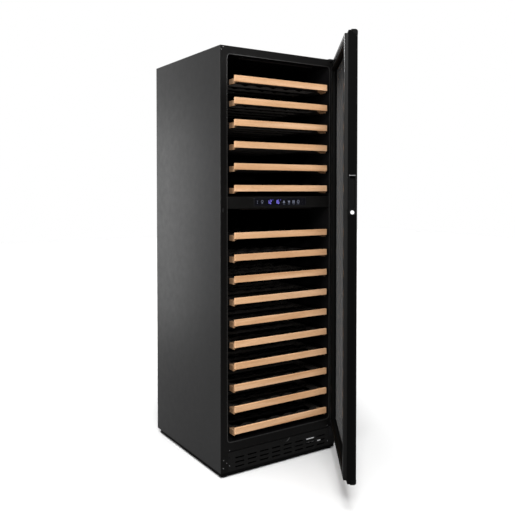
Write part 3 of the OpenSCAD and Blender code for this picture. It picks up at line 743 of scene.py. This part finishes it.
def feet():
    """Levelling feet: rubber-edged pad, hexagon and threaded stem."""
    pad = [(0, 0), (15.5, 0), (17, 1.2), (17, 2.8), (15.8, 4), (0, 4)]
    hexagon_r, hexagon_z = 9.5, (3.8, 7)
    root_r, crest_r, pitch = 4.4, 5, 1.5
    for name in FEET:
        x, y = foot_place(name)
        top = node_box(name)[1].z
        bm = bmesh.new()
        add_lathe(bm, pad, (x, y, 0), "z", 32)
        add_plate(bm, circle(x, y, hexagon_r, 6), *hexagon_z, "z")
        start = hexagon_z[1]
        turns = int((top - start - 1) / pitch)
        thread = [(0, start)]
        for k in range(turns):
            thread += [(root_r, start + pitch * k), (crest_r, start + pitch * (k + 0.5))]
        thread += [(root_r, start + pitch * turns), (3.6, top), (0, top)]
        add_lathe(bm, thread, (x, y, 0), "z", 20)
        piece(f"{name}_detail", bm, MOULDED_BLACK, f"{name}_body", [name])


def opening_loop(offset):
    """The opening's outline, moved out by offset."""
    return round_rect(-CAVITY_X - offset, CAVITY_X + offset, CAVITY_Z[0] - offset,
                      CAVITY_Z[1] + offset, CORNER_R + offset, 6)


def front_frame():
    """Plate with stiles, top rail and beam, and a raised round bead along the opening."""
    leg_x = 262
    outline = [
        (-HALF_W, PANEL_Z0), (-leg_x, PANEL_Z0), (-leg_x, SEAM_Z), (leg_x, SEAM_Z),
        (leg_x, PANEL_Z0), (HALF_W, PANEL_Z0), (HALF_W, TOP), (-HALF_W, TOP)]
    keeper = round_rect(-HALF_W + 8.5, -HALF_W + 14.5, KEEPER_Z[0], KEEPER_Z[1], 1.5, 3)
    bm = bmesh.new()
    add_plate(bm, outline, FRONT, FRONT_BACK, "y", [opening_loop(0.2), keeper])
    piece("front_surround", bm, FRAME_PAINT, "cabinet", ["front_frame"], 0.8)
    half, face, rise = 1.75, FRONT - 0.1, 0.2
    angles = [math.radians(a) for a in range(20, 161, 20)]
    crown = [(half - half * math.cos(a), face - math.sin(a) * rise) for a in angles]
    bead = ([(0, FRONT_BACK), (0, face)] + crown
            + [(2 * half, face), (2 * half, FRONT + 0.4), (0.4, FRONT + 0.4)])
    bm = bmesh.new()
    add_ring(bm, bead, opening_loop)
    piece("opening_bead", bm, BEAD_PAINT, "cabinet")


def kick_plate():
    """Slotted plate with folded lips, a shallow thumb mark and a screw hole."""
    columns, rows = 8, 3
    pitch_x, pitch_z, middle_x, first_z = 61, 18.5, 6.5, 34.5
    half_w, half_h, corner_r = 22, 3.1, 1.4
    x = KICK_HIGH.x
    top = KICK_HIGH.z - 1.2
    plate_t = 2.5
    centres = [((i - (columns - 1) / 2) * pitch_x + middle_x, first_z + k * pitch_z)
               for i in range(columns) for k in range(rows)]
    holes = [round_rect(cx - half_w, cx + half_w, cz - half_h, cz + half_h, corner_r, 3)
             for cx, cz in centres]
    holes.append(circle(-256, 78, 2.6, 12))
    bm = bmesh.new()
    add_plate(bm, rectangle(-x, x, PANEL_Z0, top), FRONT, FRONT + plate_t, "y", holes)
    add_box(bm, (-x, FRONT + plate_t - 0.5, top - 3), (x, KICK_HIGH.y, top))
    add_box(bm, (-x, FRONT + plate_t - 0.5, PANEL_Z0), (x, KICK_HIGH.y, PANEL_Z0 + 2))
    mark = bmesh.new()
    add_lathe(mark, [(0, -3), (30, -3), (28.5, 0), (27, 1.7), (0, 1.7)],
              (22, FRONT, 112), "y", 64)
    piece("kick_grille", cut_away(bm, mark), KICK_PLASTIC, "cabinet", ["kick_plate"],
          0.35)


def small_plugs():
    """Round heads in the spare hinge holes, on the face and on the top."""
    low_dome = [(0, -0.8), (1.0, -0.75), (1.6, -0.45), (1.9, 0), (0, 0.4)]
    high_dome = [(0, 1.6), (1.2, 1.5), (1.8, 1.0), (2.1, 0), (0, -0.3)]
    on_face = [(-284, 73), (-270, 59), (-256, 45), (-285, 40), (-256, 108), (256, 111), (258, 39),
               (-292, 1740), (-283, 1752)]
    on_top = [(-290, 6), (-281, 14), (-272, 6)]
    bm = bmesh.new()
    for x, z in on_face:
        add_lathe(bm, low_dome, (x, FRONT, z), "y", 16)
    for x, y in on_top:
        add_lathe(bm, high_dome, (x, FRONT + y, TOP), "z", 16)
    piece("plug_heads", bm, PLUG_STEEL, "cabinet", ["blanking_plugs"])


# ---- between the zones ----------------------------------------------------------------------

def divider():
    """Insulated divider with a window for the display, and a thin rim round the window."""
    low, high = node_box("zone_divider")
    pocket_back = FRONT + 22
    window_x, z0, z1, corner_r = 134, low.z + 10, low.z + 43, 2

    def window_loop(offset):
        x = window_x + offset
        return round_rect(-x, x, z0 - offset, z1 + offset, corner_r + offset, 3)

    bm = bmesh.new()
    add_plate(bm, rectangle(low.x, high.x, low.z, high.z), low.y, pocket_back, "y",
              [window_loop(0)])
    add_box(bm, (low.x, pocket_back, low.z), high)
    piece("divider_body", bm, DIVIDER_PLASTIC, "cabinet", ["zone_divider"], 1.2)
    bm = bmesh.new()
    rim = [(-1.2, low.y + 1.5), (-1.2, low.y - 0.5), (-0.6, low.y - 0.9), (0.6, low.y - 0.9),
           (1.2, low.y - 0.5), (1.2, low.y + 0.5), (-0.4, low.y + 0.5), (-0.4, low.y + 1.5)]
    add_ring(bm, rim, window_loop)
    piece("display_rim", bm, DIVIDER_RIM, "cabinet")


SEGMENTS = {  # ends of each bar of a seven-segment digit
    "a": ((-1, 2), (1, 2)), "b": ((1, 2), (1, 0)), "c": ((1, 0), (1, -2)),
    "d": ((-1, -2), (1, -2)), "e": ((-1, 0), (-1, -2)), "f": ((-1, 2), (-1, 0)),
    "g": ((-1, 0), (1, 0))}
DIGITS = {"1": "bc", "2": "abged", "6": "afgedc"}


def add_bar(bm, a, b, width, y0, y1):
    """A flat bar with pointed ends, from a to b in X and Z."""
    a, b = Vector(a), Vector(b)
    along = (b - a).normalized()
    side = Vector((-along.y, along.x)) * width / 2
    start, end = a + along * width * 0.6, b - along * width * 0.6
    tip0, tip1 = a + along * width * 0.1, b - along * width * 0.1
    points = [tip0, start + side, end + side, tip1, end - side, start - side]
    add_plate(bm, [tuple(p) for p in points], y0, y1)


def display():
    """Dark window with the set temperatures of both zones and six plain signs."""
    low, high = node_box("display_glass")
    bm = bmesh.new()
    add_plate(bm, round_rect(low.x, high.x, low.z, high.z, 2, 3), low.y, high.y)
    piece("display_window", bm, DISPLAY_GLASS, "cabinet", ["display_glass"],
          0.4)
    mid = (low.z + high.z) / 2
    face = (low.y - 0.25, low.y + 0.1)
    bm = bmesh.new()
    half_w, half_h, stroke, spacing = 3.5, 3.7, 1.9, 12
    for centre, number in ((-58, "12"), (-18, "16")):
        for k, digit in enumerate(number):
            x = centre + (k - 0.5) * spacing
            for s in DIGITS[digit]:
                (ax, az), (bx, bz) = SEGMENTS[s]
                add_bar(bm, (x + ax * half_w, mid + az * half_h),
                        (x + bx * half_w, mid + bz * half_h), stroke, *face)
        degree = (centre + 17.5, mid + 8)
        add_plate(bm, circle(*degree, 1.3, 12), *face, "y", [circle(*degree, 0.6, 12)])
    piece("display_digits", bm, DIGIT_LIGHT, "cabinet")

    colon_x, lamp_x, up_x, down_x, bars_x, power_x = -118.5, -94.6, 17, 43.6, 68, 93
    bm = bmesh.new()
    for z in (-4, 4):
        add_plate(bm, circle(colon_x, mid + z, 1.5, 12), *face)
    add_plate(bm, circle(lamp_x, mid + 2.5, 5.2, 20), *face, "y",
              [circle(lamp_x, mid + 2.5, 4.0, 20)])
    for z in (-4.5, -7):
        add_plate(bm, rectangle(lamp_x - 2.6, lamp_x + 2.6, mid + z, mid + z + 1.3), *face)
    for x, up in ((up_x, 1), (down_x, -1)):
        add_plate(bm, [(x - 6.5, mid - 4 * up), (x + 6.5, mid - 4 * up), (x, mid + 6.5 * up)],
                  *face)
    for x in (bars_x - 4.5, bars_x, bars_x + 4.5):
        add_plate(bm, rectangle(x - 1.1, x + 1.1, mid - 6, mid + 6), *face)
    add_plate(bm, arc(power_x, mid, 6.4, 120, 420, 20) + arc(power_x, mid, 4.8, 420, 120, 20),
              *face)
    add_plate(bm, rectangle(power_x - 0.8, power_x + 0.8, mid + 1, mid + 8), *face)
    for x in (up_x, down_x, bars_x, power_x):
        add_plate(bm, rectangle(x - 5, x + 5, mid - 10.3, mid - 9), *face)
    piece("display_icons", bm, ICON_LIGHT, "cabinet")


def light_bars():
    """A lens with a flattened round underside at the top of each zone."""
    low, high = node_box("led_bars")
    mid_y, half = (low.y + high.y) / 2, (high.y - low.y) / 2
    wall, flatness = 3, 0.5
    for name, top, replaced in (("upper", CAVITY_Z[1], ["led_bars"]),
                                ("lower", node_box("zone_divider")[0].z, ())):
        edge = top - wall
        profile = ([(low.y, top), (low.y, edge)] + arc(mid_y, edge, half, 180, 360, 8)
                   + [(high.y, top)])
        lens = [(y, edge - (edge - z) * flatness if z < edge else z) for y, z in profile]
        bm = bmesh.new()
        add_plate(bm, lens, low.x, high.x, "x")
        piece(f"light_bar_{name}", bm, LED_LENS, "cabinet", replaced)


# ---- shelves --------------------------------------------------------------------------------

def slat_outline():
    """Front view of a slat: six hollows for bottles along its upper edge."""
    hollows = 6
    span = TRIM_W - 2 * RAIL_W - 2 * JOINT_GAP
    r, lift = 42, 36
    half_chord = math.degrees(math.asin(math.sqrt(r * r - lift * lift) / r))
    top = []
    for k in reversed(range(hollows)):
        x = (k - (hollows - 1) / 2) * span / hollows
        top += arc(x, RAIL_TOP + lift, r, 270 + half_chord, 270 - half_chord, 8)
    return ([(-span / 2, RAIL_TOP - SLAT_H), (span / 2, RAIL_TOP - SLAT_H),
             (span / 2, RAIL_TOP)] + top + [(-span / 2, RAIL_TOP)])


def shelf(name):
    """Beech trim, end blocks in beech darkened as painted shade, side rails and slats near-black
    as painted shade, and the runners' moving members.
    """
    low, high = node_box(name)
    mid = high.z - TRIM_H / 2
    trim_back = low.y + TRIM_T
    rear = high.y
    half = TRIM_W / 2
    bm = bmesh.new()
    add_box(bm, (-half, low.y, mid - TRIM_H / 2), (half, trim_back, mid + TRIM_H / 2))
    piece(f"{name}_trim", bm, BEECH_X, name, [name], 0.9)
    # The blocks take the darker beech and the rails the near-black, both as painted shade.
    for part, y0, y1, material, slot in (
            ("blocks", trim_back + JOINT_GAP, trim_back + BLOCK_L, BEECH_Y_PAINTED_SHADE, "beech"),
            ("rails", trim_back + BLOCK_L + JOINT_GAP, rear, SLAT_PAINTED_SHADE, "black_steel")):
        bm = bmesh.new()
        for side in (-1, 1):
            outer, inner = side * half, side * (half - RAIL_W)
            outline = [(outer, mid + RAIL_TOP), (outer, mid + RAIL_TOP - RAIL_H),
                       (inner, mid - TRIM_H / 2), (inner, mid + RAIL_TOP)]
            add_plate(bm, outline, y0, y1)
        piece(f"{name}_{part}", bm, material, name, bevel=1.2)

    slats = 5 if rear < 150 else 6
    first = trim_back + 29
    step = (rear - SLAT_W - first) / (slats - 1)
    bm = bmesh.new()
    outline = [(x, z + mid) for x, z in slat_outline()]
    for k in range(slats):
        add_plate(bm, outline, first + k * step, first + k * step + SLAT_W)
    piece(f"{name}_slats", bm, SLAT_PAINTED_SHADE, name, bevel=1.2)

    x0, x1 = half + JOINT_GAP, half + JOINT_GAP + 13
    z0, z1, gauge = mid - 20, mid + 4, 1.5
    channel = [(x0, z0), (x1, z0), (x1, z0 + gauge), (x0 + gauge, z0 + gauge),
               (x0 + gauge, z1 - gauge), (x1, z1 - gauge), (x1, z1), (x0, z1)]
    bm = bmesh.new()
    add_plate(bm, channel, FRONT + 36, rear - 6)
    mirror_x(bm)
    piece(f"{name}_slides", bm, RUNNER_STEEL, name, bevel=0.4)


# ---- door -----------------------------------------------------------------------------------

def door_piece(name, bm, material, replaces=(), bevel=0.0, body="door"):
    """A piece drawn as on the closed door, turned with it to the rest pose."""
    piece(name, bm, material, body, replaces, bevel, ON_DOOR)


def frame_loop(offset):
    """The door's outline moved out by offset, kept inside the end caps."""
    x = HALF_W + offset
    z0 = max(DOOR_Z[0] + CAP_T, DOOR_Z[0] - offset)
    z1 = min(DOOR_Z[1] - CAP_T, DOOR_Z[1] + offset)
    return rectangle(-x, x, z0, z1)


def door_frame():
    """Frame with a glass rebate, the holes for grip and lock, and corners cut for the caps."""
    r, clear = 5, 5
    profile = (
        arc(-r, DOOR_Y + r, r, 270, 360, 5)
        + [(0, DOOR_BACK_Y), (-RIM, DOOR_BACK_Y), (-RIM, INNER_GLASS_Y),
           (-GLASS_INSET, INNER_GLASS_Y), (-GLASS_INSET, DOOR_Y)])
    bm = bmesh.new()
    add_ring(bm, profile, frame_loop)
    pocket = bmesh.new()
    add_box(pocket, (-HALF_W - clear, LOCK_Y - CUP_W / 2, CUP_Z[0]),
            (-HALF_W + 16, LOCK_Y + CUP_W / 2, CUP_Z[1]))
    bm = cut_away(bm, pocket)
    bore = bmesh.new()
    add_plate(bore, circle(LOCK_Y, LOCK_Z, BARREL_HOLE_R), -HALF_W - clear, -HALF_W + 12, "x")
    bm = cut_away(bm, bore)
    corners = bmesh.new()
    y0, y1 = DOOR_Y - 2, DOOR_Y + CORNER_CUT
    for end, up in ((DOOR_Z[1], 1), (DOOR_Z[0], -1)):
        centre = end - up * CORNER_CUT
        outline = (arc(y1, centre, CORNER_CUT - CAP_T, 90 * up, 180 * up, 6)
                   + [(y0, centre), (y0, end + 2 * up), (y1, end + 2 * up)])
        add_plate(corners, outline, -HALF_W - clear, HALF_W + clear, "x")
    bm = cut_away(bm, corners)
    door_piece("door_frame_detail", bm, DOOR_PAINT, ["door_frame"], 0.5)


def end_caps():
    """Caps over the frame's ends with a rounded outer corner, and quarter-round ears."""
    for name, end, up in (("lower", DOOR_Z[0], -1), ("upper", DOOR_Z[1], 1)):
        mid = (DOOR_Y + CORNER_CUT, end - up * CORNER_CUT)
        outer = arc(*mid, CORNER_CUT, 90 * up, 180 * up, 6)
        inner = arc(*mid, CORNER_CUT - CAP_T, 180 * up, 90 * up, 6)
        back = [(DOOR_Y + CAP_DEPTH, end - up * CAP_T), (DOOR_Y + CAP_DEPTH, end)]
        ear = outer + arc(DOOR_Y, end, CAP_R, -90 * up, 0, 10)
        proud = 0.35
        bm = bmesh.new()
        add_plate(bm, outer + inner + back, -HALF_W, HALF_W, "x")
        for x0, x1 in ((-HALF_W - proud, -HALF_W), (HALF_W, HALF_W + proud)):
            add_plate(bm, ear, x0, x1, "x")
        door_piece(f"end_cap_{name}", bm, CAP_PLASTIC, ["door_end_caps"], 0.15)


def liner_loop(offset):
    """The door's outline moved out by offset, with round corners on the liner's outer edge."""
    x = HALF_W + offset
    r = max(0.05, 8 + LINER_INSET + offset)
    return round_rect(-x, x, DOOR_Z[0] - offset, DOOR_Z[1] + offset, r, 5)


def door_liner():
    """Grey inner layer with a rounded outer edge, a gasket groove and a sloping inner edge."""
    groove, groove_y = (-29.5, -23.5), LINER_Y - 6
    r = 2.5
    profile = (
        [(-LINER_INSET, DOOR_BACK_Y)]
        + [(-LINER_INSET - r + x, LINER_Y - r + y) for x, y in arc(0, 0, r, 0, 90, 4)]
        + [(groove[1], LINER_Y), (groove[1], groove_y), (groove[0], groove_y),
           (groove[0], LINER_Y), (-RIM + 5, LINER_Y), (-RIM, LINER_Y - 4),
           (-RIM, DOOR_BACK_Y)])
    bm = bmesh.new()
    add_ring(bm, profile, liner_loop)
    slot = bmesh.new()
    add_box(slot, (-HALF_W + 9.5, LOCK_Y - 7, LOCK_Z - 35.5), (-HALF_W + 13.5, FRONT, LOCK_Z + 7))
    # The liner's grey darkens towards the hinge side and the foot as painted shade.
    door_piece("liner_detail", cut_away(bm, slot), DOOR_GREY_PAINTED_SHADE, ["door_liner"])


def door_gasket():
    """Magnetic gasket: a dart in the groove, and two soft folds against the cabinet."""
    top = LINER_Y + 1.7
    folds = [(-14.5, LINER_Y), (-14.5, LINER_Y + 0.7), (-15.3, top - 0.3), (-16.8, top),
             (-19.5, top), (-20.6, top - 0.9), (-21.7, top), (-25.2, top),
             (-26.7, top - 0.3), (-27.5, LINER_Y + 0.7), (-27.5, LINER_Y), (-29.4, LINER_Y),
             (-29.4, LINER_Y - 5.8), (-23.6, LINER_Y - 5.8), (-23.6, LINER_Y)]
    bm = bmesh.new()
    add_ring(bm, folds, liner_loop)
    door_piece("gasket_detail", bm, GASKET_RUBBER, ["door_gasket"])


def panes():
    """Three panes, the printed border behind the outer one, and the spacers between them."""
    outer = (DOOR_Y, DOOR_Y + 4)
    middle = (INNER_GLASS_Y - 13, INNER_GLASS_Y - 10)
    inner = (INNER_GLASS_Y - 3, INNER_GLASS_Y)
    x = HALF_W - GLASS_INSET
    z0, z1 = DOOR_Z[0] + GLASS_INSET, DOOR_Z[1] - GLASS_INSET
    for name, (y0, y1), material in (("outer", outer, OUTER_GLASS),
                                     ("middle", middle, CLEAR_GLASS),
                                     ("inner", inner, INNER_GLASS)):
        bm = bmesh.new()
        add_plate(bm, rectangle(-x, x, z0, z1), y0, y1)
        door_piece(f"pane_{name}", bm, material, ["glass_panes"], 0.6)

    print_y0, print_y1 = outer[1] + 0.02, outer[1] + 0.3
    bm = bmesh.new()
    add_ring(bm, [(-GLASS_INSET - 1, print_y0), (-GLASS_INSET - 1, print_y1),
                  (-RIM - 3, print_y1), (-RIM - 3, print_y0)], frame_loop)
    door_piece("pane_border", bm, FRIT)

    bm = bmesh.new()
    for y0, y1 in ((outer[1] + 0.35, middle[0]), (middle[1], inner[0])):
        bar = [(-25.5, y0), (-25.5, y1), (-33.5, y1), (-34.5, y1 - 1.5), (-34.5, y0 + 1.5),
               (-33.5, y0)]
        add_ring(bm, bar, frame_loop)
    door_piece("pane_spacers", bm, SPACER_METAL, ["spacer_bars"])


def grip():
    """Finger cup in the door's free edge, its bezel, and the bright lip at its upper end."""
    y0, y1 = LOCK_Y - CUP_W / 2, LOCK_Y + CUP_W / 2
    z0, z1 = CUP_Z
    x = -HALF_W
    wall, depth, bezel_half = 2, 14, 13.5
    pocket = round_rect(y0 + wall, y1 - wall, z0 + wall, z1 - wall, 6, 6)
    bezel = round_rect(LOCK_Y - bezel_half, LOCK_Y + bezel_half, LOCK_Z - 10, z1 + 2, 5, 5)
    bm = bmesh.new()
    add_plate(bm, rectangle(y0, y1, z0, z1), x, x + depth, "x", [pocket])
    add_box(bm, (x + depth, y0, z0), (x + depth + wall, y1, z1))
    add_plate(bm, bezel, x - 1, x, "x", [pocket, circle(LOCK_Y, LOCK_Z, BARREL_HOLE_R)])
    door_piece("grip_cup", bm, GRIP_PLASTIC, ["handle_cup"], 0.5)
    bm = bmesh.new()
    add_plate(bm, round_rect(y0, y1, z1 - 2, z1 + 0.4, 1, 3), x - 1.8, x - 0.2, "x")
    door_piece("grip_lip", bm, LIP_STEEL, bevel=0.4)


def lock():
    """Key barrel with a domed rim and a key slot, and the cam behind it."""
    x = -HALF_W - 1.5
    length, cam_t = 11.5, 3
    barrel = [(0, 0.6), (3.0, 0.6), (3.4, 0.9), (4.6, 0.9), (5.2, 0.0), (6.6, 0.0), (7, 0.5),
              (7, length), (0, length)]
    bm = bmesh.new()
    add_lathe(bm, barrel, (x, LOCK_Y, LOCK_Z), "x", 32)
    slot = bmesh.new()
    add_box(slot, (x - 1, LOCK_Y - 0.6, LOCK_Z - 2.8), (x + 4, LOCK_Y + 0.6, LOCK_Z + 2.8))
    bm = cut_away(bm, slot)
    add_plate(bm, round_rect(LOCK_Y - 5, LOCK_Y + 5, LOCK_Z - 33.5, LOCK_Z + 5, 4.5, 5),
              x + length, x + length + cam_t, "x")
    door_piece("lock_detail", bm, LOCK_STEEL, ["lock_barrel"], body="lock")


# ---- CAD nodes that stay, with their materials ------------------------------------------------

KEPT = {
    "inner_liner": LINER_PLASTIC, "insulation": FOAM, "control_board": CIRCUIT_BOARD,
    "hinge_brackets": BLACK_STEEL, "hinge_pins": BRIGHT_STEEL, "bracket_screws": BLACK_STEEL,
    "shelf_runners": RUNNER_STEEL, "duct_covers": LINER_PLASTIC, "evaporators": ALUMINIUM,
    "zone_fan_upper": MOULDED_BLACK, "zone_fan_lower": MOULDED_BLACK,
    "compressor": COMPRESSOR_PAINT, "compressor_mounts": MOUNT_RUBBER,
    "drip_tray": MOULDED_BLACK, "condenser": BLACK_STEEL, "condenser_fan": MOULDED_BLACK,
    "fan_shroud": MOULDED_BLACK, "mains_inlet": MOULDED_BLACK, "hinge_bushes": NYLON,
}


def dress_kept_nodes():
    """Gives the CAD nodes that no piece replaces their materials."""
    for name, material in KEPT.items():
        node = frame["nodes"][name]
        node.data.materials.clear()
        node.data.materials.append(material)


def painted_light_pad():
    """Bright pad behind the kick plate: painted light that shows through three of its slots."""
    y, thickness = FRONT + 3.2, 2
    outline = [(134, 53.4), (186, 53.4), (186, 44), (219, 44), (219, 58), (188, 62), (188, 77),
               (134, 77)]
    bm = bmesh.new()
    add_plate(bm, outline, y, y + thickness)
    piece("painted_light_pad", bm, SLOT_LIGHT_PAD, "cabinet", bevel=0.5)


# ---- everything -----------------------------------------------------------------------------

make_camera()
make_floor()
make_world()
make_lights()
bpy.context.scene.view_settings.view_transform = "Standard"
dress_kept_nodes()
side_panels()
top_panel()
rear_panel()
rear_grille()
base_tray()
feet()
front_frame()
kick_plate()
small_plugs()
divider()
display()
light_bars()
painted_light_pad()
for shelf_name in SHELVES:
    shelf(shelf_name)
door_frame()
end_caps()
door_liner()
door_gasket()
panes()
grip()
lock()
